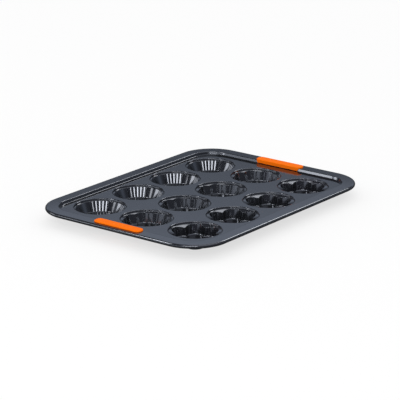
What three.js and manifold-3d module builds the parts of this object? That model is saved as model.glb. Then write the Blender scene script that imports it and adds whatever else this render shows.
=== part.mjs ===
import * as THREE from 'three';
import Module from 'manifold-3d';
import { mergeVertices } from 'three/addons/utils/BufferGeometryUtils.js';

// Shaped mini cake pan: a pressed sheet with a wired rim, twelve shaped cups and two soft grips.
// Millimetres, +Z up. The origin is the middle of the plane that the cups stand on.

// Sheet and fits
const SHEET = 0.9;
const FIT_GAP = 0.3;

// Cup mouths and their layout on the deck
const ROWS = 3;
const CUPS_PER_ROW = 4;
const MOUTH_RADIUS = 36.5;
const MOUTH_ROUNDING = 1.2;
const DECK_WEB = 8;
const END_MARGIN = 15.4;
const SIDE_MARGIN = 7.4;

// Cup section, measured down from the deck
const CUP_DEPTH = 17;
const COLLAR_DEPTH = 2.6;
const COLLAR_DRAFT = 0.3;
const LEDGE_DROP = 0.5;

// Ribbed cup: plain lobes between groups of narrow ribs
const RIBBED_LEDGE = 1.8;
const RIBBED_DRAFT = 5.7;
const RIBBED_FILLET = 1.6;
const RIB_DEPTH = 1.3;
const RIBS_PER_GROUP = 5;
const RIBBED_GROUPS = 4;
const RIBBED_GROUP_ANGLE = 49;
const RIBBED_GROUP_START = 42.5;

// Fluted cup: pairs of hollow flutes, with a narrow round bead between one pair and the next.
// A bead stands in as far as the edges of the flutes, and its height is taken from its own feet.
const FLUTED_LEDGE = 1.8;
const FLUTED_DRAFT = 4;
const FLUTED_FILLET = 1.6;
const FLUTE_DEPTH = 2.6;
const BEADS = 4;
const BEAD_ANGLE = 21;
const BEAD_START = 24;
const BEAD_HEIGHT = 1.7;
const BEAD_EDGE_ANGLE = 2.5;

// Petal cup: round petals meeting in cusps
const PETALS = 6;
const PETAL_LEDGE = 1.6;
const PETAL_DRAFT = 3;
const PETAL_FILLET = 2;
const PETAL_CUSP_INSET = 7.6;
const PETAL_START = 37.5;

// Rim: step up from the deck, flat flange, edge rolled round a wire. Bend radii are inside ones.
const STEP_HEIGHT = 4.3;
const STEP_RUN = 1.6;
const STEP_FOOT_RADIUS = 0.8;
const STEP_EDGE_RADIUS = 0.3;
const FLANGE_WIDTH = 19;
const WIRE_DIAMETER = 3;
const CURL_SWEEP = 290;
const CORNER_RADIUS = 54;

// Grips: one soft moulding each, lapped over the step and held through a slot in the flange
const GRIP_LENGTH = 80;
const GRIP_SETBACK = 6.5;
const GRIP_LAP = 2.5;
const GRIP_PROUD = 2.1;
const GRIP_CORNER_RADIUS = 6;
const GRIP_EDGE_RADIUS = 1.4;
const LIP_WIDTH = 1.7;
const LIP_DROP = 1;
const NECK_LENGTH = 62;
const NECK_WIDTH = 5;
const UNDER_PAD_LENGTH = 72;
const UNDER_PAD_MARGIN = 2.2;
const UNDER_PAD_THICKNESS = 2.2;

// Facets
const CORNER_STEPS = 6;
const CURL_STEPS = 7;
const BEND_STEPS = 2;
const HOLE_STEPS = 32;
const WIRE_STEPS = 6;
const LOBE_STEPS = 2;
const FLUTE_STEPS = 3;
const PETAL_STEPS = 5;
const FILLET_FACET = 3;
const GRIP_CURVE_STEPS = 3;

// Levels and places that follow from the sizes above
const deckTop = SHEET + CUP_DEPTH;
const flangeTop = deckTop + STEP_HEIGHT;
const cupFlangeRadius = MOUTH_RADIUS + MOUTH_ROUNDING;
const holeRadius = cupFlangeRadius + FIT_GAP;
const pitch = 2 * holeRadius + DECK_WEB;
const stepOffset = FLANGE_WIDTH + STEP_RUN;
const curlRadius = WIRE_DIAMETER / 2 + FIT_GAP + SHEET;
const halfLength = ((CUPS_PER_ROW - 1) * pitch) / 2 + holeRadius + END_MARGIN + stepOffset;
const halfWidth = ((ROWS - 1) * pitch) / 2 + holeRadius + SIDE_MARGIN + stepOffset;

const wasm = await Module();
wasm.setup();

const radians = THREE.MathUtils.degToRad;
const onCircle = (radius, angle) => new THREE.Vector2(Math.cos(angle), Math.sin(angle)).multiplyScalar(radius);

// Closed mesh to solid and back, for cuts and joins
function solid(geometry) {
  const bare = geometry.clone();
  bare.deleteAttribute('normal');
  bare.deleteAttribute('uv');
  const merged = mergeVertices(bare, 1e-4);
  const vertProperties = new Float32Array(merged.attributes.position.array);
  const triVerts = new Uint32Array(merged.index.array);
  return new wasm.Manifold(new wasm.Mesh({ numProp: 3, vertProperties, triVerts }));
}

function meshOf(manifold) {
  const { vertProperties, triVerts } = manifold.getMesh();
  const geometry = new THREE.BufferGeometry();
  geometry.setAttribute('position', new THREE.BufferAttribute(vertProperties, 3));
  geometry.setIndex(new THREE.BufferAttribute(triVerts, 1));
  return geometry;
}

// Skin over a run of rings with equal counts. A looped run closes on its first ring, and
// otherwise a fan about the middle of each end ring closes it.
function loft(rings, looped = false) {
  const count = rings[0].length;
  const points = rings.flat();
  const index = [];
  const bands = looped ? rings.length : rings.length - 1;
  for (let band = 0; band < bands; band++) {
    const near = band * count;
    const far = ((band + 1) % rings.length) * count;
    for (let i = 0; i < count; i++) {
      const j = (i + 1) % count;
      index.push(near + i, far + j, near + j, near + i, far + i, far + j);
    }
  }
  if (!looped) {
    const last = (rings.length - 1) * count;
    const middle = (ring) => ring.reduce((sum, p) => sum.add(p), new THREE.Vector3()).divideScalar(count);
    points.push(middle(rings[0]), middle(rings.at(-1)));
    for (let i = 0; i < count; i++) {
      const j = (i + 1) % count;
      index.push(points.length - 2, i, j);
      index.push(points.length - 1, last + j, last + i);
    }
  }
  return new THREE.BufferGeometry().setFromPoints(points).setIndex(index);
}

// Ring of the rounded rectangle that lies an offset inside the pan's outline
function outlineRing({ x: offset, y: height }) {
  const quarter = Math.PI / 2;
  const corners = [[1, 1], [-1, 1], [-1, -1], [1, -1]];
  return corners.flatMap(([sideX, sideY], corner) =>
    Array.from({ length: CORNER_STEPS + 1 }, (_, step) => {
      const point = onCircle(CORNER_RADIUS - offset, quarter * (corner + step / CORNER_STEPS));
      const x = sideX * (halfLength - CORNER_RADIUS) + point.x;
      const y = sideY * (halfWidth - CORNER_RADIUS) + point.y;
      return new THREE.Vector3(x, y, height);
    }),
  );
}

// One face of a bent sheet: corner points with their bend radii, moved aside by the sheet
function bentFace(corners, aside) {
  const normals = corners.slice(1).map((corner, i) => {
    const along = corner.point.clone().sub(corners[i].point).normalize();
    return new THREE.Vector2(-along.y, along.x);
  });
  return corners.flatMap(({ point, radius = 0 }, i) => {
    const before = normals[Math.max(i - 1, 0)];
    const after = normals[Math.min(i, normals.length - 1)];
    const shift = before.clone().add(after).multiplyScalar(aside / (1 + before.dot(after)));
    const corner = point.clone().add(shift);
    if (!radius) {
      return [corner];
    }
    const turn = Math.sign(before.cross(after));
    const bend = radius - turn * aside;
    const toCentre = before.clone().add(after).multiplyScalar((turn * bend) / (1 + before.dot(after)));
    const centre = corner.clone().add(toCentre);
    const sweep = turn * Math.acos(before.dot(after));
    const start = before.clone().multiplyScalar(-turn * bend);
    return Array.from({ length: BEND_STEPS + 1 }, (_, step) =>
      start.clone().rotateAround(new THREE.Vector2(), (sweep * step) / BEND_STEPS).add(centre),
    );
  });
}

// Rolled edge: an open hook round the wire, from the flange over the outside and back under it
function curlFace(radius) {
  const centre = new THREE.Vector2(curlRadius, flangeTop - curlRadius);
  const sweep = radians(CURL_SWEEP);
  return Array.from({ length: CURL_STEPS + 1 }, (_, step) =>
    onCircle(radius, Math.PI / 2 + (sweep * step) / CURL_STEPS).add(centre),
  );
}

// Plan of a rounded bar along Y, centred on x
function barShape(x, width, length, cornerRadius) {
  const shape = new THREE.Shape();
  const halfBar = width / 2;
  const reach = length / 2 - cornerRadius;
  const inset = halfBar - cornerRadius;
  shape.absarc(x + inset, reach, cornerRadius, 0, Math.PI / 2);
  shape.absarc(x - inset, reach, cornerRadius, Math.PI / 2, Math.PI);
  shape.absarc(x - inset, -reach, cornerRadius, Math.PI, 1.5 * Math.PI);
  shape.absarc(x + inset, -reach, cornerRadius, 1.5 * Math.PI, 2 * Math.PI);
  return shape;
}

function bar(x, width, length, cornerRadius, bottom, top) {
  const options = { depth: top - bottom, bevelEnabled: false, curveSegments: GRIP_CURVE_STEPS };
  const geometry = new THREE.ExtrudeGeometry(barShape(x, width, length, cornerRadius), options);
  return solid(geometry.translate(0, 0, bottom));
}

// Where the grip at +X lies on the flange
const stepEdgeX = halfLength - FLANGE_WIDTH;
const curlInnerX = halfLength - 2 * curlRadius;
const gripInnerX = stepEdgeX - GRIP_LAP;
const gripOuterX = halfLength - GRIP_SETBACK;
const gripWidth = gripOuterX - gripInnerX;
const neckX = (stepEdgeX + curlInnerX) / 2;

function trayGeometry() {
  const bends = [
    { point: new THREE.Vector2(halfWidth, deckTop) },
    { point: new THREE.Vector2(stepOffset, deckTop), radius: STEP_FOOT_RADIUS },
    { point: new THREE.Vector2(FLANGE_WIDTH, flangeTop), radius: STEP_EDGE_RADIUS + SHEET },
    { point: new THREE.Vector2(curlRadius, flangeTop) },
  ];
  const upper = bentFace(bends, 0).slice(1, -1).concat(curlFace(curlRadius));
  const lower = bentFace(bends, SHEET).slice(1, -1).concat(curlFace(curlRadius - SHEET));
  let tray = solid(loft([...upper, ...lower.reverse()].map(outlineRing)));
  for (const { x, y } of cupPlaces()) {
    const drill = new THREE.CylinderGeometry(holeRadius, holeRadius, 4 * SHEET, HOLE_STEPS);
    drill.rotateX(Math.PI / 2).translate(x, y, deckTop - SHEET / 2);
    tray = tray.subtract(solid(drill));
  }
  for (const side of [0, Math.PI]) {
    const slotWidth = NECK_WIDTH + 2 * FIT_GAP;
    const slotLength = NECK_LENGTH + 2 * FIT_GAP;
    const slot = bar(neckX, slotWidth, slotLength, slotWidth / 2, flangeTop - 2 * SHEET, flangeTop + SHEET);
    tray = tray.subtract(slot.rotate([0, 0, THREE.MathUtils.radToDeg(side)]));
  }
  return meshOf(tray);
}

function wireGeometry() {
  const centre = new THREE.Vector2(curlRadius, flangeTop - curlRadius);
  const section = Array.from({ length: WIRE_STEPS }, (_, step) =>
    onCircle(WIRE_DIAMETER / 2, (2 * Math.PI * step) / WIRE_STEPS).add(centre),
  );
  return loft(section.map(outlineRing), true);
}

function gripGeometry() {
  const seat = flangeTop + FIT_GAP;
  const top = flangeTop + GRIP_PROUD;
  const lipBottom = flangeTop - LIP_DROP;
  const section = new THREE.Shape();
  section.moveTo(gripOuterX, seat);
  section.absarc(gripOuterX - GRIP_EDGE_RADIUS, top - GRIP_EDGE_RADIUS, GRIP_EDGE_RADIUS, 0, Math.PI / 2);
  section.absarc(gripInnerX + GRIP_EDGE_RADIUS, top - GRIP_EDGE_RADIUS, GRIP_EDGE_RADIUS, Math.PI / 2, Math.PI);
  section.lineTo(gripInnerX, lipBottom);
  section.lineTo(gripInnerX + LIP_WIDTH, lipBottom);
  section.lineTo(gripInnerX + LIP_WIDTH, seat);
  const options = { depth: GRIP_LENGTH, bevelEnabled: false, curveSegments: GRIP_CURVE_STEPS };
  const run = new THREE.ExtrudeGeometry(section, options);
  run.rotateX(Math.PI / 2).translate(0, GRIP_LENGTH / 2, 0);
  const middleX = (gripInnerX + gripOuterX) / 2;
  const plan = bar(middleX, gripWidth, GRIP_LENGTH, GRIP_CORNER_RADIUS, lipBottom - SHEET, top + SHEET);
  const underTop = flangeTop - SHEET - FIT_GAP;
  const underWidth = curlInnerX - stepEdgeX - 2 * UNDER_PAD_MARGIN;
  const underBottom = underTop - UNDER_PAD_THICKNESS;
  const underPad = bar(neckX, underWidth, UNDER_PAD_LENGTH, underWidth / 2, underBottom, underTop);
  const neck = bar(neckX, NECK_WIDTH, NECK_LENGTH, NECK_WIDTH / 2, underBottom + SHEET, top - SHEET);
  return meshOf(solid(run).intersect(plan).add(neck).add(underPad));
}

// Cup middles, a row at a time from +Y to -Y and along +X in a row
function cupPlaces() {
  return Array.from({ length: ROWS * CUPS_PER_ROW }, (_, i) => {
    const row = Math.floor(i / CUPS_PER_ROW);
    const x = ((i % CUPS_PER_ROW) - (CUPS_PER_ROW - 1) / 2) * pitch;
    const y = ((ROWS - 1) / 2 - row) * pitch;
    return { row, x, y };
  });
}

// Plan of a cup wall from points that are each an angle and how far it stands inwards there
function wallPlan(points) {
  return (lobeRadius) => points.map(({ angle, inward }) => onCircle(lobeRadius - inward, radians(angle)));
}

// Plain lobes between groups of grooves, where a groove has a ridge at both its sides
function ribbedPlan() {
  const spacing = 360 / RIBBED_GROUPS;
  const lobeAngle = spacing - RIBBED_GROUP_ANGLE;
  const halfGroove = RIBBED_GROUP_ANGLE / (2 * RIBS_PER_GROUP);
  const points = [];
  for (let group = 0; group < RIBBED_GROUPS; group++) {
    const first = RIBBED_GROUP_START + spacing * group - RIBBED_GROUP_ANGLE / 2;
    for (let half = 0; half <= 2 * RIBS_PER_GROUP; half++) {
      points.push({ angle: first + halfGroove * half, inward: half % 2 ? 0 : RIB_DEPTH });
    }
    for (let step = 1; step < LOBE_STEPS; step++) {
      points.push({ angle: first + RIBBED_GROUP_ANGLE + (lobeAngle * step) / LOBE_STEPS, inward: 0 });
    }
  }
  return wallPlan(points);
}

// Beads, each followed by two flutes that are half waves
function flutedPlan() {
  const spacing = 360 / BEADS;
  const halfBead = BEAD_ANGLE / 2;
  const flutesStart = halfBead + BEAD_EDGE_ANGLE;
  const fluteAngle = spacing / 2 - flutesStart;
  const beadFoot = FLUTE_DEPTH - BEAD_HEIGHT;
  const points = [];
  for (let bead = 0; bead < BEADS; bead++) {
    const middle = BEAD_START + spacing * bead;
    points.push({ angle: middle - halfBead, inward: beadFoot });
    points.push({ angle: middle, inward: FLUTE_DEPTH });
    points.push({ angle: middle + halfBead, inward: beadFoot });
    for (let step = 0; step <= 2 * FLUTE_STEPS; step++) {
      const wave = Math.abs(Math.sin((Math.PI * step) / FLUTE_STEPS));
      const angle = middle + flutesStart + (fluteAngle * step) / FLUTE_STEPS;
      points.push({ angle, inward: FLUTE_DEPTH * (1 - wave) });
    }
  }
  return wallPlan(points);
}

// Round petals: each is an arc through two cusps and its own tip
function petalPlan() {
  const half = Math.PI / PETALS;
  return (tipRadius) => {
    const cuspRadius = tipRadius - PETAL_CUSP_INSET;
    const centre = (tipRadius ** 2 - cuspRadius ** 2) / (2 * (tipRadius - cuspRadius * Math.cos(half)));
    const petalRadius = tipRadius - centre;
    return Array.from({ length: PETALS * PETAL_STEPS }, (_, i) => {
      const within = half * ((2 * (i % PETAL_STEPS)) / PETAL_STEPS - 1);
      const middle = radians(PETAL_START) + 2 * half * Math.floor(i / PETAL_STEPS);
      const reach = Math.sqrt(petalRadius ** 2 - (centre * Math.sin(within)) ** 2);
      return onCircle(centre * Math.cos(within) + reach, middle + within);
    });
  };
}

// Cup shell: round mouth, upright collar, ledge, shaped tapering wall, filleted flat floor
function cupGeometry({ plan, ledge, draft, fillet }) {
  const collarRadius = MOUTH_RADIUS - COLLAR_DRAFT;
  const topRadius = collarRadius - ledge;
  const footRadius = topRadius - draft;
  const floorRadius = footRadius - fillet;
  const collarFoot = deckTop - COLLAR_DEPTH;
  const wallTop = collarFoot - LEDGE_DROP;
  const at = (points, height) => points.map((point) => new THREE.Vector3(point.x, point.y, height));
  const turns = plan(topRadius).map((point) => point.angle());
  const circle = (radius, height) => at(turns.map((angle) => onCircle(radius, angle)), height);
  const filletSteps = Math.max(1, Math.round(fillet / FILLET_FACET));
  const filletRings = (bend) =>
    Array.from({ length: filletSteps + 1 }, (_, step) => {
      const { x, y } = onCircle(bend, (Math.PI / 2) * (step / filletSteps - 1));
      return at(plan(floorRadius + x), SHEET + fillet + y);
    });
  const inner = [
    ...filletRings(fillet),
    at(plan(topRadius), wallTop),
    circle(collarRadius, collarFoot),
    circle(MOUTH_RADIUS, deckTop - MOUTH_ROUNDING),
    circle(cupFlangeRadius, deckTop),
  ];
  const outer = [
    circle(cupFlangeRadius, deckTop - SHEET),
    circle(collarRadius + SHEET, collarFoot - SHEET),
    at(plan(topRadius + SHEET), wallTop - SHEET),
    ...filletRings(fillet + SHEET).reverse(),
  ];
  return loft([...inner, ...outer]);
}

const coating = () => new THREE.MeshStandardMaterial({ color: 0x40454c, roughness: 0.35, metalness: 0.3 });
const steel = () => new THREE.MeshStandardMaterial({ color: 0xb9bbbd, roughness: 0.4, metalness: 1 });
const silicone = () => new THREE.MeshStandardMaterial({ color: 0xff7a14, roughness: 0.55, metalness: 0 });

const pan = new THREE.Group();

function addPiece(name, geometry, material) {
  const piece = new THREE.Mesh(geometry, material);
  piece.name = name;
  pan.add(piece);
  return piece;
}

addPiece('pan_tray', trayGeometry(), coating());
addPiece('rim_wire', wireGeometry(), steel());

const ribbed = { plan: ribbedPlan(), ledge: RIBBED_LEDGE, draft: RIBBED_DRAFT, fillet: RIBBED_FILLET };
const fluted = { plan: flutedPlan(), ledge: FLUTED_LEDGE, draft: FLUTED_DRAFT, fillet: FLUTED_FILLET };
const petal = { plan: petalPlan(), ledge: PETAL_LEDGE, draft: PETAL_DRAFT, fillet: PETAL_FILLET };
const cupRows = [
  { name: 'ribbed_cup', geometry: cupGeometry(ribbed) },
  { name: 'fluted_cup', geometry: cupGeometry(fluted) },
  { name: 'petal_cup', geometry: cupGeometry(petal) },
];
cupPlaces().forEach(({ row, x, y }, i) => {
  const { name, geometry } = cupRows[row];
  const cup = addPiece(`${name}_${(i % CUPS_PER_ROW) + 1}`, geometry, coating());
  cup.position.set(x, y, 0);
});

addPiece('right_grip', gripGeometry(), silicone());
const leftGrip = addPiece('left_grip', gripGeometry(), silicone());
leftGrip.rotation.z = Math.PI;

export default pan;
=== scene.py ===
import math

import bmesh
import bpy
from mathutils import Matrix, Vector


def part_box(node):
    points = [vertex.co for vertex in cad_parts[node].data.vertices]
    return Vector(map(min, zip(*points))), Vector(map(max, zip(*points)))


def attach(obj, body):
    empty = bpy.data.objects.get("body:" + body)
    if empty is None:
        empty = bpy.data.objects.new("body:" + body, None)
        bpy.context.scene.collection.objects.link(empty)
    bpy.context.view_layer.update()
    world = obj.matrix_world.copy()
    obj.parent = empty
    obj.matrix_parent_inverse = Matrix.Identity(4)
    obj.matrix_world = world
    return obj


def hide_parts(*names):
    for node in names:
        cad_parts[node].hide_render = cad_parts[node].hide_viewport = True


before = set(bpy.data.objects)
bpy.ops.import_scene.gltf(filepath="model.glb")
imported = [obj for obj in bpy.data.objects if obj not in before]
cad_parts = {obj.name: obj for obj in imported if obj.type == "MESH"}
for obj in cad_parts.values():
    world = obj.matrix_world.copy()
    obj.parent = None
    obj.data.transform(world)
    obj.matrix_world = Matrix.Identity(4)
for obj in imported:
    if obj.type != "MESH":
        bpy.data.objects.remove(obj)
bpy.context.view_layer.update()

# Shaped mini cake pan: one pressed and coated sheet with twelve shaped cups, and two soft grips.
# Sizes are in metres. Angles are in degrees where they aren't turned into radians here.
MM = 0.001

# Levels and outline come from the frame
tray_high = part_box("pan_tray")[1]
HALF_LENGTH = tray_high.x
HALF_WIDTH = tray_high.y
FLANGE_TOP = tray_high.z
DECK_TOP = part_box("ribbed_cup_1")[1].z
SHEET = 0.9 * MM

# Points closer than the tolerance are one place. An edge or a normal counts as lying along an axis
# where more than the share MOSTLY of it does.
TOLERANCE = 0.001 * MM
MOSTLY = 0.9

# Rim section
CORNER_RADIUS = 54 * MM
CORNER_STEPS = 20
FLANGE_WIDTH = 19 * MM
FLANGE_FALL = 0.2 * MM
FLAT_MARGIN = 0.4 * MM
STEP_RUN = 1.6 * MM
STEP_FOOT_RADIUS = 0.8 * MM
STEP_FOOT_STEPS = 6
STEP_EDGE_RADIUS = 1.2 * MM
STEP_EDGE_STEPS = 7
ROLL_RADIUS = 2.7 * MM
ROLL_SWEEP = math.radians(290)
ROLL_STEPS = 26
TRAY_SMOOTHING = math.radians(32)

# Cup section, the same in all designs
CUPS_PER_ROW = 4
MOUTH_RADIUS = 36.5 * MM
MOUTH_ROUNDING = 1.2 * MM
MOUTH_STEPS = 5
MOUTH_SPOKES = 240
CUTTER_DEPTH = 6 * SHEET
COLLAR_DEPTH = 2.6 * MM
COLLAR_DRAFT = 0.3 * MM
COLLAR_FILLET = 0.35 * MM
COLLAR_STEPS = 3
LEDGE_DROP = 0.5 * MM
LEDGE_ROUNDING = 0.6 * MM
LEDGE_STEPS = 4
FILLET_STEPS = 8
FLOOR_RING = 0.9
SHOULDER_SLOPE = 0.27
SHOULDER_MARGIN = 0.01 * MM
GROOVE_FLATNESS = 0.5
BEAD_FOOT = 0.35
PULL_DIGITS = 6
CUP_SMOOTHING = math.radians(45)

# Cup designs. A plan's middle is the angle round the cup at which a group, bead or petal is centred,
# and the softness is how far to each side the plan is averaged.
RIBBED_WALL = dict(spokes=480, ledge=1.8 * MM, draft=5.7 * MM, fillet=1.6 * MM, softness=0)
RIBBED_PLAN = dict(groups=4, group_angle=49, middle=42.5, grooves=5, depth=1.3 * MM)
FLUTED_WALL = dict(spokes=240, ledge=1.8 * MM, draft=4 * MM, fillet=1.6 * MM, softness=0.8)
FLUTED_PLAN = dict(beads=4, bead_angle=21, middle=24, depth=2.6 * MM)
PETAL_WALL = dict(spokes=240, ledge=1.6 * MM, draft=3 * MM, fillet=2 * MM, softness=1.2)
PETAL_TIP = MOUTH_RADIUS - COLLAR_DRAFT - PETAL_WALL["ledge"]
PETAL_PLAN = dict(petals=6, middle=37.5, cusp_inset=7.6 * MM, tip_radius=PETAL_TIP)

# Grip section
GRIP_SEAT = 0.05 * MM
GRIP_CORNER_RADIUS = 6 * MM
GRIP_CORNER_STEPS = 8
GRIP_EDGE_RADIUS = 1.4 * MM
GRIP_EDGE_STEPS = 4
LIP_WIDTH = 1.7 * MM
LIP_DROP = 1 * MM
SKIRT_TOP_WIDTH = 1.25 * MM
SKIRT_TOP_DROP = 1.2 * MM
SKIRT_WIDTH = 0.75 * MM
SKIRT_DROP = 1.2 * MM
UNDER_PAD_LENGTH = 72 * MM
UNDER_PAD_WIDTH = 9.2 * MM
UNDER_PAD_CORNER_RADIUS = 0.48 * UNDER_PAD_WIDTH
UNDER_PAD_EDGE_RADIUS = 0.8 * MM
UNDER_PAD_EDGE_STEPS = 3
UNDER_PAD_INSET = 12.2 * MM
GRIP_SMOOTHING = math.radians(40)

# Coating
COATING_DARK = (0.105, 0.111, 0.124)
COATING_LIGHT = (0.131, 0.137, 0.15)
COATING_METALLIC = 0.94
COATING_ROUGHNESS = 0.09
COATING_MOTTLE_SIZE = 22 * MM
COATING_MOTTLE_SHARE = 0.6
FLECK_SIZE = 0.35 * MM
FLECK_EDGES = (0.62, 0.72)
FLECK_SHARE = 0.4
FLECK_ROUGHNESS = 0.02
WIPE_SIZE = 9 * MM
WIPE_STRETCH = (0.35, 1, 1)
WIPE_ROUGHNESS = 0.05
PEEL_SIZE = 1.1 * MM
PEEL_DEPTH = 0.002 * MM

# Silicone
GRIP_DEEP = (0.88, 0.15, 0.003)
GRIP_BRIGHT = (0.95, 0.18, 0.004)
GRIP_IOR = 1.42
GRIP_SPECULAR = 0.03
GRIP_ROUGHNESS = 0.5
GRIP_MOTTLE_SIZE = 8 * MM
DUST_SIZE = 3 * MM
DUST_ROUGHNESS = 0.18
GRAIN_SIZE = 0.3 * MM
GRAIN_DEPTH = 0.01 * MM

# Rim wire
WIRE_DARK = (0.44, 0.45, 0.46)
WIRE_PALE = (0.6, 0.61, 0.62)
WIRE_ROUGHNESS = 0.28
DULL_SIZE = 6 * MM
DULL_ROUGHNESS = 0.25
PITTING_SIZE = 0.2 * MM
PITTING_DEPTH = 0.01 * MM

# Paper floor. The white is the share of it that is plain white to the eye, and the dimmed one
# the share that its dim mirrored tone takes in reflections.
FLOOR_SIZE = 16
PAPER_GREY = (0.87, 0.87, 0.87)
PAPER_PALE = (0.9, 0.9, 0.9)
PAPER_ROUGHNESS = 0.9
FIBRE_SIZE = 4 * MM
FLOOR_WHITE = 0.68
FLOOR_DIMMED = 0.93
FLOOR_MIRRORED = (0.05, 0.053, 0.06)

# Room, most of it only in reflections. A bearing is an angle from the camera's side of the pan,
# positive to its right. Pairs are the limits of soft passages, along a direction or in height.
ROOM_LIGHT = 0.96
ROOM_MIRRORED = (0.1, 0.105, 0.13)
BACKDROP_BEARING = 150
BACKDROP_LOW = (0.115, 0.13, 0.162)
BACKDROP_HIGH = (0.5, 0.562, 0.68)
BACKDROP_SHADE = (0.25, 0.36)
BACKDROP_EDGES = (0.1, 0.7)
BACKDROP_TOP = (0.36, 0.46)
SIDE_BEARING = -65
SIDE_MIRRORED = (0.6, 0.63, 0.7)
SIDE_EDGES = (0.65, 0.85)
SIDE_TOP = (0.27, 0.35)
CEILING_BEARING = 60
CEILING_ELEVATION = 72
CEILING_MIRRORED = (0.7, 0.73, 0.8)
CEILING_EDGES = (0.77, 0.83)
STRIP_BEARING = -38
STRIP_MIRRORED = (2.6, 2.7, 2.85)
STRIP_EDGES = (0.44, 0.62)
STRIP_TILT = 0.196
STRIP_FOOT = (0.185, 0.2)
STRIP_TOP = (0.23, 0.245)

# Lamps. The glint lamps light only reflections.
SOFTBOXES = {
    "front_light": dict(bearing=-8.5, elevation=33, distance=4.4, width=2.8, height=0.6, power=42),
    "left_strip": dict(bearing=-104, elevation=15, distance=3.6, width=1.3, height=0.62, power=8),
    "back_light": dict(bearing=172, elevation=44, distance=3.8, width=0.9, height=0.7, power=4.5),
}
GLINT_LAMPS = {
    "right_glint": dict(bearing=148, elevation=41, distance=3.6, width=1.35, height=0.7, power=17),
    "front_glint": dict(bearing=-72.4, elevation=45.2, distance=0.67, width=0.11, height=0.19, power=0.65),
    "step_glint": dict(bearing=-74.9, elevation=22.4, distance=0.828, width=0.12, height=0.1, power=0.115),
}

# Camera. Its lens and sensor are in millimetres.
CAMERA_AZIMUTH = -52.195
CAMERA_ELEVATION = 17.693
CAMERA_DISTANCE = 2.875419
CAMERA_LENS = 182.92
CAMERA_SENSOR = 36
CAMERA_REACH = 20
CAMERA_AIM_RIGHT = -4.329 * MM
CAMERA_AIM_UP = -9.904 * MM


def deselect():
    bpy.ops.object.select_all(action="DESELECT")


def activate(piece):
    """Selects one piece alone and makes it the active one."""
    deselect()
    piece.select_set(True)
    bpy.context.view_layer.objects.active = piece


def rename(piece, name):
    piece.name = name
    piece.data.name = name


def copy_of(piece):
    """A copy of a piece with its own mesh."""
    activate(piece)
    bpy.ops.object.duplicate()
    return bpy.context.object


def edit(piece):
    """Opens one piece for editing, with nothing selected in it."""
    activate(piece)
    bpy.ops.object.mode_set(mode="EDIT")
    bpy.ops.mesh.select_mode(type="VERT")
    bpy.ops.mesh.select_all(action="DESELECT")


def close_edit():
    bpy.ops.object.mode_set(mode="OBJECT")


def start(name, add, **sizes):
    """Adds a primitive as a piece of its own, and opens it for editing with all of it selected."""
    deselect()
    add(**sizes)
    piece = bpy.context.object
    rename(piece, name)
    bpy.ops.object.mode_set(mode="EDIT")
    bpy.ops.mesh.select_mode(type="VERT")
    bpy.ops.mesh.select_all(action="SELECT")
    return piece


def pick(piece, wanted, kind="VERT"):
    """Selects just those points, edges or faces of the open piece that are wanted."""
    bpy.ops.mesh.select_mode(type=kind)
    bpy.ops.mesh.select_all(action="DESELECT")
    mesh = bmesh.from_edit_mesh(piece.data)
    parts = {"VERT": mesh.verts, "EDGE": mesh.edges, "FACE": mesh.faces}[kind]
    for part in parts:
        if wanted(part):
            part.select_set(True)
    mesh.select_flush_mode()
    bmesh.update_edit_mesh(piece.data)


def extrude(x=0.0, y=0.0, z=0.0):
    bpy.ops.mesh.extrude_region_move(TRANSFORM_OT_translate={"value": (x, y, z)})


def spin(centre, axis, angle, steps):
    """Extrudes what is selected along an arc, counter-clockwise seen from the axis's head."""
    bpy.ops.mesh.spin(steps=steps, angle=-angle, center=centre, axis=axis)


def bevel(width, steps):
    bpy.ops.mesh.bevel(offset=width, segments=steps, affect="EDGES")


def apply_modifier(piece, kind, **settings):
    bpy.context.view_layer.objects.active = piece
    modifier = piece.modifiers.new(kind.lower(), kind)
    for key, value in settings.items():
        setattr(modifier, key, value)
    bpy.ops.object.modifier_apply(modifier=modifier.name)


def smooth(piece, angle):
    """Smooths all but the sharp edges, with flat stretches kept flat up to the bends beside them."""
    bpy.ops.object.shade_smooth_by_angle(angle=angle)
    apply_modifier(piece, "WEIGHTED_NORMAL", mode="FACE_AREA", weight=100, keep_sharp=True)


def finish_mesh(piece, smooth_angle):
    """Merges doubles, turns the faces outwards, and smooths all but the sharp edges."""
    edit(piece)
    bpy.ops.mesh.select_all(action="SELECT")
    bpy.ops.mesh.remove_doubles(threshold=TOLERANCE)
    bpy.ops.mesh.normals_make_consistent(inside=False)
    close_edit()
    smooth(piece, smooth_angle)


def cup_place(node):
    low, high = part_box(node)
    return (low + high) / 2


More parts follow.
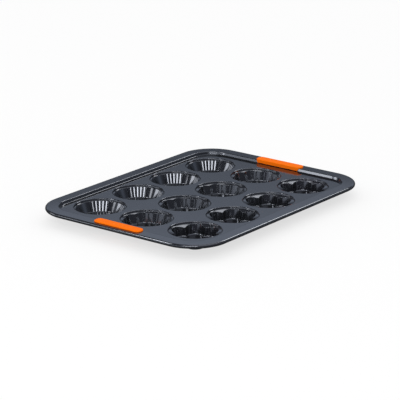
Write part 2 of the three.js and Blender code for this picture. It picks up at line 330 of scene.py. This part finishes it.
def pressed_tray():
    """Rim section drawn on the right-hand side, swept round the outline, and closed by the deck."""
    corner_x = HALF_LENGTH - CORNER_RADIUS
    corner_y = HALF_WIDTH - CORNER_RADIUS
    step_slope = math.atan2(FLANGE_TOP - DECK_TOP, STEP_RUN)
    foot_x = HALF_LENGTH - FLANGE_WIDTH - STEP_RUN - STEP_FOOT_RADIUS * math.tan(step_slope / 2)
    edge_x = HALF_LENGTH - FLANGE_WIDTH + STEP_EDGE_RADIUS * math.tan(step_slope / 2)
    roll_x = HALF_LENGTH - ROLL_RADIUS
    along, outwards = (0, 1, 0), (0, -1, 0)

    tray = start("pressed_tray", bpy.ops.mesh.primitive_plane_add, size=FLAT_MARGIN)
    bpy.ops.mesh.merge(type="CENTER")
    bpy.ops.transform.translate(value=(foot_x - 2 * FLAT_MARGIN, -corner_y, DECK_TOP))
    extrude(x=2 * FLAT_MARGIN)
    spin((foot_x, -corner_y, DECK_TOP + STEP_FOOT_RADIUS), outwards, step_slope, STEP_FOOT_STEPS)
    edge_start = edge_x - STEP_EDGE_RADIUS * math.sin(step_slope)
    foot_end = foot_x + STEP_FOOT_RADIUS * math.sin(step_slope)
    foot_rise = STEP_FOOT_RADIUS * (1 - math.cos(step_slope))
    edge_drop = STEP_EDGE_RADIUS * (1 - math.cos(step_slope))
    extrude(x=edge_start - foot_end, z=FLANGE_TOP - edge_drop - DECK_TOP - foot_rise)
    spin((edge_x, -corner_y, FLANGE_TOP - STEP_EDGE_RADIUS), along, step_slope, STEP_EDGE_STEPS)
    extrude(x=FLAT_MARGIN)
    extrude(x=roll_x - edge_x - 2 * FLAT_MARGIN, z=-FLANGE_FALL)
    extrude(x=FLAT_MARGIN)
    roll_centre = (roll_x, -corner_y, FLANGE_TOP - FLANGE_FALL - ROLL_RADIUS)
    spin(roll_centre, along, ROLL_SWEEP, ROLL_STEPS)

    bpy.ops.mesh.select_all(action="SELECT")
    up = (0, 0, 1)
    for side_x, side_y in ((1, 1), (-1, 1), (-1, -1), (1, -1)):
        if side_x == side_y:
            extrude(y=2 * corner_y * side_y)
        else:
            extrude(x=2 * corner_x * side_x)
        spin((corner_x * side_x, corner_y * side_y, 0), up, math.pi / 2, CORNER_STEPS)
    bpy.ops.mesh.select_all(action="SELECT")
    bpy.ops.mesh.remove_doubles(threshold=TOLERANCE)
    deck_reach = foot_x - FLAT_MARGIN

    def on_deck_edge(vert):
        at_deck = abs(vert.co.z - DECK_TOP) < TOLERANCE
        return at_deck and vert.is_boundary and abs(vert.co.x) < deck_reach

    pick(tray, on_deck_edge)
    bpy.ops.mesh.edge_face_add()
    bpy.ops.mesh.select_all(action="SELECT")
    bpy.ops.mesh.normals_make_consistent(inside=False)
    close_edit()
    return tray


def cut_mouths(tray):
    """Gives the tray its sheet thickness and cuts the row-by-column mouths out of its deck."""
    apply_modifier(tray, "SOLIDIFY", thickness=SHEET, offset=-1, use_even_offset=True)
    first = cup_place("ribbed_cup_1")
    pitch = cup_place("ribbed_cup_2").x - first.x
    cutter = start(
        "mouth_cutter", bpy.ops.mesh.primitive_cylinder_add,
        vertices=MOUTH_SPOKES, radius=MOUTH_RADIUS + MOUTH_ROUNDING, depth=CUTTER_DEPTH,
    )
    bpy.ops.transform.translate(value=(first.x, first.y, DECK_TOP))
    for _ in range(CUPS_PER_ROW - 1):
        bpy.ops.mesh.duplicate_move(TRANSFORM_OT_translate={"value": (pitch, 0, 0)})
    bpy.ops.mesh.select_all(action="SELECT")
    for _ in range(len(CUP_ROWS) - 1):
        bpy.ops.mesh.duplicate_move(TRANSFORM_OT_translate={"value": (0, -pitch, 0)})
    close_edit()
    apply_modifier(tray, "BOOLEAN", operation="DIFFERENCE", solver="EXACT", object=cutter)
    bpy.data.objects.remove(cutter)
    activate(tray)
    smooth(tray, TRAY_SMOOTHING)


def groove_plan(groups, group_angle, middle, grooves, depth):
    """How far a wall stands inwards at an angle: plain lobes between groups of round grooves."""
    spacing = 360 / groups
    pitch = group_angle / grooves

    def inward(angle):
        away = (angle - middle + spacing / 2) % spacing - spacing / 2
        if abs(away) > group_angle / 2:
            return 0.0
        return depth * (1 - abs(math.sin(math.pi * (away + group_angle / 2) / pitch)) ** GROOVE_FLATNESS)

    return inward


def bead_plan(beads, bead_angle, middle, depth):
    """The same for pairs of hollow lobes with a narrow bead between the pairs."""
    spacing = 360 / beads
    lobe = (spacing - bead_angle) / 2

    def inward(angle):
        away = abs((angle - middle + spacing / 2) % spacing - spacing / 2)
        if away < bead_angle / 2:
            return depth * (BEAD_FOOT + (1 - BEAD_FOOT) * math.cos(math.pi * away / bead_angle))
        return depth * (1 - math.sin(math.pi * (away - bead_angle / 2) / lobe))

    return inward


def petal_plan(petals, middle, cusp_inset, tip_radius):
    """The same for round petals that meet in cusps."""
    half = math.pi / petals
    cusp_radius = tip_radius - cusp_inset
    centre = (tip_radius**2 - cusp_radius**2) / (2 * (tip_radius - cusp_radius * math.cos(half)))
    petal_radius = tip_radius - centre

    def inward(angle):
        away = (math.radians(angle - middle) + half) % (2 * half) - half
        reach = math.sqrt(petal_radius**2 - (centre * math.sin(away)) ** 2)
        return tip_radius - centre * math.cos(away) - reach

    return inward


def spoke_of(place, spokes):
    return round(math.degrees(math.atan2(place.y, place.x)) * spokes / 360) % spokes


def pressed_cup(name, spokes, ledge, draft, fillet, inward, softness):
    """Rings drawn down from the mouth, then the spokes of its wall pulled in to the cup's plan."""
    collar_radius = MOUTH_RADIUS - COLLAR_DRAFT
    collar_foot = DECK_TOP - COLLAR_DEPTH
    wall_radius = collar_radius - ledge
    wall_top = collar_foot - LEDGE_DROP
    tilt = math.atan2(draft, wall_top - SHEET - fillet)
    edge_radius = wall_radius + LEDGE_ROUNDING
    edge_height = wall_top + LEDGE_DROP / 2 - LEDGE_ROUNDING

    rings = []
    for step in range(1, MOUTH_STEPS + 1):
        turn = math.pi / 2 * step / MOUTH_STEPS
        rings.append((
            MOUTH_RADIUS + MOUTH_ROUNDING * (1 - math.sin(turn)),
            DECK_TOP - MOUTH_ROUNDING * (1 - math.cos(turn)),
        ))
    for step in range(COLLAR_STEPS + 1):
        turn = math.pi / 2 * step / COLLAR_STEPS
        rings.append((
            collar_radius - COLLAR_FILLET * (1 - math.cos(turn)),
            collar_foot + COLLAR_FILLET * (1 - math.sin(turn)),
        ))
    for step in range(LEDGE_STEPS + 1):
        turn = (math.pi / 2 - tilt) * step / LEDGE_STEPS
        rings.append((
            edge_radius - LEDGE_ROUNDING * math.sin(turn),
            edge_height + LEDGE_ROUNDING * math.cos(turn),
        ))
    wall_start, wall_start_height = rings[-1]
    wall_end_height = SHEET + fillet * (1 - math.sin(tilt))
    wall_end = wall_start - (wall_start_height - wall_end_height) * math.tan(tilt)
    floor_radius = wall_end - fillet * math.cos(tilt)
    for step in range(FILLET_STEPS + 1):
        turn = tilt + (math.pi / 2 - tilt) * step / FILLET_STEPS
        rings.append((
            floor_radius + fillet * math.cos(turn),
            SHEET + fillet * (1 - math.sin(turn)),
        ))
    rings.append((floor_radius * FLOOR_RING, SHEET))

    radius, height = MOUTH_RADIUS + MOUTH_ROUNDING, DECK_TOP
    cup = start(name, bpy.ops.mesh.primitive_circle_add, vertices=spokes, radius=radius)
    bpy.ops.transform.translate(value=(0, 0, height))
    for next_radius, next_height in rings:
        extrude(z=next_height - height)
        scale = next_radius / radius
        bpy.ops.transform.resize(value=(scale, scale, 1), center_override=(0, 0, next_height))
        radius, height = next_radius, next_height
    extrude()
    bpy.ops.mesh.merge(type="CENTER")

    pulls = {}
    for spoke in range(spokes):
        angle = 360 * spoke / spokes
        nearby = [inward(angle + turn) for turn in (-softness, 0, softness)]
        pulls.setdefault(round(sum(nearby) / len(nearby), PULL_DIGITS), set()).add(spoke)
    wall_limit = (wall_top + collar_foot) / 2
    shoulder_foot = wall_start_height - SHOULDER_MARGIN
    for pull, chosen in pulls.items():
        if pull:
            pick(cup, lambda v: v.co.z < wall_limit and spoke_of(v.co, spokes) in chosen)
            scale = 1 - pull / wall_radius
            bpy.ops.transform.resize(value=(scale, scale, 1), center_override=(0, 0, 0))
            pick(cup, lambda v: shoulder_foot < v.co.z < wall_limit and spoke_of(v.co, spokes) in chosen)
            bpy.ops.transform.translate(value=(0, 0, -pull * SHOULDER_SLOPE))
    bpy.ops.mesh.select_all(action="SELECT")
    bpy.ops.mesh.normals_make_consistent(inside=False)
    close_edit()
    apply_modifier(cup, "SOLIDIFY", thickness=SHEET, offset=-1)
    finish_mesh(cup, CUP_SMOOTHING)
    return cup


def row_of_cups(cup, name):
    """Puts the modelled cup in its row's first place, and copies of it in the others."""
    cups = [cup] + [copy_of(cup) for _ in range(CUPS_PER_ROW - 1)]
    for number, piece in enumerate(cups, 1):
        node = f"{name}_{number}"
        place = cup_place(node)
        rename(piece, f"pressed_{node}")
        edit(piece)
        bpy.ops.mesh.select_all(action="SELECT")
        bpy.ops.transform.translate(value=(place.x, place.y, 0))
        close_edit()
        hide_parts(node)
    return cups


def is_upright(edge):
    along = edge.verts[1].co - edge.verts[0].co
    return abs(along.z) > MOSTLY * along.length


def faces_down_before(line):
    """A test for faces that look down and lie nearer to the pan's middle than the line."""
    return lambda face: face.normal.z < -MOSTLY and face.calc_center_median().x < line


def moulded_grip():
    """The right-hand grip: a rounded pad on the flange, a lip and skirt over the step, and a pad below."""
    low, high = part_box("right_grip")
    middle_x = (low.x + high.x) / 2
    thickness = high.z - FLANGE_TOP - GRIP_SEAT
    grip = start("grip_right", bpy.ops.mesh.primitive_cube_add, size=1)
    bpy.ops.transform.resize(value=(high.x - low.x, high.y - low.y, thickness))
    bpy.ops.transform.translate(value=(middle_x, 0, high.z - thickness / 2))
    pick(grip, is_upright, "EDGE")
    bevel(GRIP_CORNER_RADIUS, GRIP_CORNER_STEPS)
    pick(grip, lambda v: v.co.z > high.z - thickness / 2)
    bevel(GRIP_EDGE_RADIUS, GRIP_EDGE_STEPS)
    edge = high.x
    for width, drop in (
        (LIP_WIDTH, LIP_DROP + GRIP_SEAT),
        (SKIRT_TOP_WIDTH, SKIRT_TOP_DROP),
        (SKIRT_WIDTH, SKIRT_DROP),
    ):
        line = low.x + width
        pick(grip, faces_down_before(edge), "FACE")
        bpy.ops.mesh.bisect(plane_co=(line, 0, 0), plane_no=(1, 0, 0))
        pick(grip, faces_down_before(line), "FACE")
        extrude(z=-drop)
        edge = line

    under_top = FLANGE_TOP - FLANGE_FALL - SHEET - GRIP_SEAT
    under_size = (UNDER_PAD_WIDTH, UNDER_PAD_LENGTH, under_top - low.z)
    bpy.ops.mesh.primitive_cube_add(size=1)
    bpy.ops.transform.resize(value=under_size, center_override=(0, 0, 0))
    bpy.ops.transform.translate(value=(HALF_LENGTH - UNDER_PAD_INSET, 0, (under_top + low.z) / 2))

    def under(vert):
        return vert.co.x > low.x + LIP_WIDTH + GRIP_SEAT and vert.co.z < under_top + GRIP_SEAT / 2

    pick(grip, lambda e: is_upright(e) and under(e.verts[0]), "EDGE")
    bevel(UNDER_PAD_CORNER_RADIUS, GRIP_CORNER_STEPS)
    pick(grip, lambda v: under(v) and v.co.z < low.z + GRIP_SEAT)
    bevel(UNDER_PAD_EDGE_RADIUS, UNDER_PAD_EDGE_STEPS)
    close_edit()
    finish_mesh(grip, GRIP_SMOOTHING)
    return grip


def opposite_grip(grip):
    """Its copy on the left-hand side, turned about the middle of the pan."""
    copy = copy_of(grip)
    rename(copy, "grip_left")
    edit(copy)
    bpy.ops.mesh.select_all(action="SELECT")
    bpy.ops.transform.rotate(value=math.pi, orient_axis="Z", center_override=(0, 0, 0))
    close_edit()
    return copy


class Signal:
    """A shader socket that plain arithmetic works on, each sum or product adding its Math node."""

    def __init__(self, shading, socket):
        self.shading = shading
        self.socket = socket

    def math(self, operation, first, second):
        return self.shading.add("ShaderNodeMath", {"operation": operation}, {0: first, 1: second})

    def __add__(self, other):
        return self.math("ADD", self, other)

    def __radd__(self, other):
        return self.math("ADD", other, self)

    def __sub__(self, other):
        return self.math("SUBTRACT", self, other)

    def __rsub__(self, other):
        return self.math("SUBTRACT", other, self)

    def __mul__(self, other):
        return self.math("MULTIPLY", self, other)

    def __rmul__(self, other):
        return self.math("MULTIPLY", other, self)


class Shading:
    """The shader nodes of a material or of the room, built up by adding one after another."""

    def __init__(self, owner):
        owner.use_nodes = True
        self.tree = owner.node_tree

    def add(self, kind, settings=None, sockets=None, output=0):
        """Adds a node with its settings and the values or links of its sockets."""
        node = self.tree.nodes.new(kind)
        for key, value in (settings or {}).items():
            setattr(node, key, value)
        for key, value in (sockets or {}).items():
            if isinstance(value, Signal):
                self.tree.links.new(value.socket, node.inputs[key])
            else:
                node.inputs[key].default_value = value
        return Signal(self, node.outputs[output])

    def blend(self, share, first, second):
        """One colour turning into another."""
        colours = {0: share, 6: (*first, 1), 7: (*second, 1)}
        return self.add("ShaderNodeMix", {"data_type": "RGBA"}, colours, output=2)

    def above(self, signal, low, high):
        """0 under the low value, 1 over the high one, and a soft passage between them."""
        limits = {"Value": signal, "From Min": low, "From Max": high}
        return self.add("ShaderNodeMapRange", {"interpolation_type": "SMOOTHSTEP"}, limits)

    def ray(self, kind):
        """1 for the rays of that kind, such as Camera or Glossy, and 0 for others."""
        return self.add("ShaderNodeLightPath", output=f"Is {kind} Ray")

    def mix(self, share, first, second):
        """One shader turning into another."""
        return self.add("ShaderNodeMixShader", {}, {0: share, 1: first, 2: second})

    def show(self, node_name, shader):
        """Makes the shader what the output node of that name gives out."""
        self.tree.links.new(shader.socket, self.tree.nodes[node_name].inputs["Surface"])


class Finish(Shading):
    """A material, built up from its Principled shader's sockets."""

    def __init__(self, name, **constants):
        self.material = bpy.data.materials.new(name)
        super().__init__(self.material)
        self.shader = self.tree.nodes["Principled BSDF"]
        for socket, value in constants.items():
            self.shader.inputs[socket.replace("_", " ")].default_value = value
        self.places = self.add("ShaderNodeTexCoord", output="Object")

    def noise(self, size, detail=2.0, stretch=(1, 1, 1)):
        """Soft noise from 0 to 1, with patches of about that size."""
        scale = [axis / size for axis in stretch]
        spread = self.add("ShaderNodeMapping", {}, {"Vector": self.places, "Scale": scale})
        return self.add("ShaderNodeTexNoise", {}, {"Vector": spread, "Scale": 1.0, "Detail": detail})

    def feed(self, socket, signal):
        self.tree.links.new(signal.socket, self.shader.inputs[socket])

    def bump(self, height, depth):
        """Relief of the height signal, that deep in metres from its 0 to its 1."""
        relief = {"Strength": 1.0, "Distance": depth, "Height": height}
        self.feed("Normal", self.add("ShaderNodeBump", {}, relief))


def coating_finish():
    """Glossy dark blue-grey non-stick coat: faint mottle, fine flecks, wipe marks and orange peel."""
    coat = Finish("non_stick_coating", Metallic=COATING_METALLIC)
    mottle = coat.noise(COATING_MOTTLE_SIZE, detail=3)
    flecks = coat.above(coat.noise(FLECK_SIZE), *FLECK_EDGES)
    paleness = mottle * COATING_MOTTLE_SHARE + flecks * FLECK_SHARE
    coat.feed("Base Color", coat.blend(paleness, COATING_DARK, COATING_LIGHT))
    wipes = coat.noise(WIPE_SIZE, detail=4, stretch=WIPE_STRETCH)
    coat.feed("Roughness", COATING_ROUGHNESS + wipes * WIPE_ROUGHNESS + flecks * FLECK_ROUGHNESS)
    coat.bump(coat.noise(PEEL_SIZE), PEEL_DEPTH)
    return coat.material


def grip_finish():
    """Satin orange silicone: slight mottle, dusty patches and a fine moulded grain."""
    silicone = Finish("orange_silicone", IOR=GRIP_IOR, Specular_IOR_Level=GRIP_SPECULAR)
    mottle = silicone.noise(GRIP_MOTTLE_SIZE, detail=3)
    silicone.feed("Base Color", silicone.blend(mottle, GRIP_DEEP, GRIP_BRIGHT))
    silicone.feed("Roughness", GRIP_ROUGHNESS + silicone.noise(DUST_SIZE, detail=3) * DUST_ROUGHNESS)
    silicone.bump(silicone.noise(GRAIN_SIZE), GRAIN_DEPTH)
    return silicone.material


def wire_finish():
    """Plain steel wire, with dull pale patches and fine pitting."""
    steel = Finish("drawn_steel", Metallic=1.0)
    dull = steel.noise(DULL_SIZE, detail=4)
    steel.feed("Base Color", steel.blend(dull, WIRE_DARK, WIRE_PALE))
    steel.feed("Roughness", WIRE_ROUGHNESS + dull * DULL_ROUGHNESS)
    steel.bump(steel.noise(PITTING_SIZE), PITTING_DEPTH)
    return steel.material


def floor_finish():
    """White paper: it takes the shadow, is part plain white to the eye, and is dim in reflections."""
    paper = Finish("white_paper", Roughness=PAPER_ROUGHNESS)
    fibres = paper.noise(FIBRE_SIZE, detail=3)
    paper.feed("Base Color", paper.blend(fibres, PAPER_GREY, PAPER_PALE))
    seen = (paper.ray("Camera") + paper.ray("Transmission")) * FLOOR_WHITE
    mirrored = paper.ray("Glossy")
    tone = paper.blend(mirrored, (1, 1, 1), FLOOR_MIRRORED)
    glow = paper.add("ShaderNodeEmission", {}, {"Color": tone, "Strength": 1.0})
    lit = Signal(paper, paper.shader.outputs[0])
    paper.show("Material Output", paper.mix(seen + mirrored * FLOOR_DIMMED, lit, glow))
    return paper.material


def direction(bearing, elevation):
    """Unit vector from the pan, by its bearing from the camera's side and its elevation."""
    turn = math.radians(CAMERA_AZIMUTH + bearing)
    rise = math.radians(elevation)
    return Vector((math.sin(turn) * math.cos(rise), -math.cos(turn) * math.cos(rise), math.sin(rise)))


def studio_room():
    """Soft light from all round, white to the eye.

    In reflections it is a dim room with a pale far side, a pale wall to the left, a pale part of the
    ceiling, and a bright strip that slopes up towards the camera.
    """
    world = bpy.data.worlds.new("studio")
    bpy.context.scene.world = world
    room = Shading(world)
    looking = room.add("ShaderNodeTexCoord", output="Generated")

    def along(way):
        dot_product = {"operation": "DOT_PRODUCT"}
        return room.add("ShaderNodeVectorMath", dot_product, {0: looking, 1: way}, output="Value")

    def background(colour, strength=1.0):
        return room.add("ShaderNodeBackground", {}, {"Color": colour, "Strength": strength})

    height = along((0, 0, 1))
    paper = room.blend(room.above(height, *BACKDROP_SHADE), BACKDROP_LOW, BACKDROP_HIGH)
    share = room.above(along(direction(BACKDROP_BEARING, 0)), *BACKDROP_EDGES)
    share = share * (1 - room.above(height, *BACKDROP_TOP))
    side = room.above(along(direction(SIDE_BEARING, 0)), *SIDE_EDGES)
    side = side * (1 - room.above(height, *SIDE_TOP))
    walls = room.blend(side, ROOM_MIRRORED, SIDE_MIRRORED)
    mirrored = room.mix(share, background(walls), background(paper))
    ceiling = room.above(along(direction(CEILING_BEARING, CEILING_ELEVATION)), *CEILING_EDGES)
    mirrored = room.mix(ceiling, mirrored, background((*CEILING_MIRRORED, 1)))
    lift = height - along(direction(0, 0)) * STRIP_TILT
    strip = room.above(lift, *STRIP_FOOT) * (1 - room.above(lift, *STRIP_TOP))
    strip = strip * room.above(along(direction(STRIP_BEARING, 0)), *STRIP_EDGES)
    mirrored = room.mix(strip, mirrored, background((*STRIP_MIRRORED, 1)))
    white = (1, 1, 1, 1)
    lit = room.mix(room.ray("Glossy"), background(white, ROOM_LIGHT), mirrored)
    seen = room.mix(room.ray("Camera") + room.ray("Transmission"), lit, background(white))
    room.show("World Output", seen)


def softbox(name, bearing, elevation, distance, width, height, power):
    """A rectangular lamp that faces the pan's middle and isn't seen itself."""
    lamp = bpy.data.lights.new(name, "AREA")
    lamp.shape = "RECTANGLE"
    lamp.size = width
    lamp.size_y = height
    lamp.energy = power
    box = bpy.data.objects.new(name, lamp)
    towards = direction(bearing, elevation)
    box.location = towards * distance
    box.rotation_euler = towards.to_track_quat("Z", "Y").to_euler()
    box.visible_camera = False
    bpy.context.collection.objects.link(box)
    return box


def photo_camera():
    """Camera on a long lens, without roll, at the angle of the photograph."""
    back = direction(0, CAMERA_ELEVATION)
    right = Vector((0, 0, 1)).cross(back).normalized()
    up = back.cross(right)
    aim = right * CAMERA_AIM_RIGHT + up * CAMERA_AIM_UP + Vector((0, 0, FLANGE_TOP))
    lens = bpy.data.cameras.new("camera")
    lens.sensor_width = CAMERA_SENSOR
    lens.lens = CAMERA_LENS
    lens.clip_end = CAMERA_REACH
    camera = bpy.data.objects.new("camera", lens)
    turn = Matrix((right, up, back)).transposed().to_4x4()
    camera.matrix_world = Matrix.Translation(aim + back * CAMERA_DISTANCE) @ turn
    bpy.context.collection.objects.link(camera)
    bpy.context.scene.camera = camera


# A row of cups for each design, from the far long side to the near one
CUP_ROWS = {
    "ribbed_cup": (RIBBED_WALL, groove_plan(**RIBBED_PLAN)),
    "fluted_cup": (FLUTED_WALL, bead_plan(**FLUTED_PLAN)),
    "petal_cup": (PETAL_WALL, petal_plan(**PETAL_PLAN)),
}

tray = pressed_tray()
cut_mouths(tray)
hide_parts("pan_tray")
coated = [tray]
for cup_name, (wall, plan) in CUP_ROWS.items():
    modelled = pressed_cup(f"pressed_{cup_name}", inward=plan, **wall)
    coated += row_of_cups(modelled, cup_name)

right_grip = moulded_grip()
left_grip = opposite_grip(right_grip)
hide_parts("right_grip")
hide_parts("left_grip")

coating, silicone, steel = coating_finish(), grip_finish(), wire_finish()
for pieces, finish, slot in (
    (coated, coating, "coating"),
    ([right_grip, left_grip], silicone, "grip"),
    ([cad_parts["rim_wire"]], steel, "wire"),
):
    for piece in pieces:
        piece.data.materials.clear()
        piece.data.materials.append(finish)
        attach(piece, "root")

deselect()
bpy.ops.mesh.primitive_plane_add(size=FLOOR_SIZE)
floor = bpy.context.object
floor.name = "floor"
floor.data.materials.append(floor_finish())

studio_room()
for softbox_name, settings in SOFTBOXES.items():
    softbox(softbox_name, **settings)
for lamp_name, settings in GLINT_LAMPS.items():
    softbox(lamp_name, **settings).visible_diffuse = False
photo_camera()
bpy.context.scene.view_settings.view_transform = "Standard"
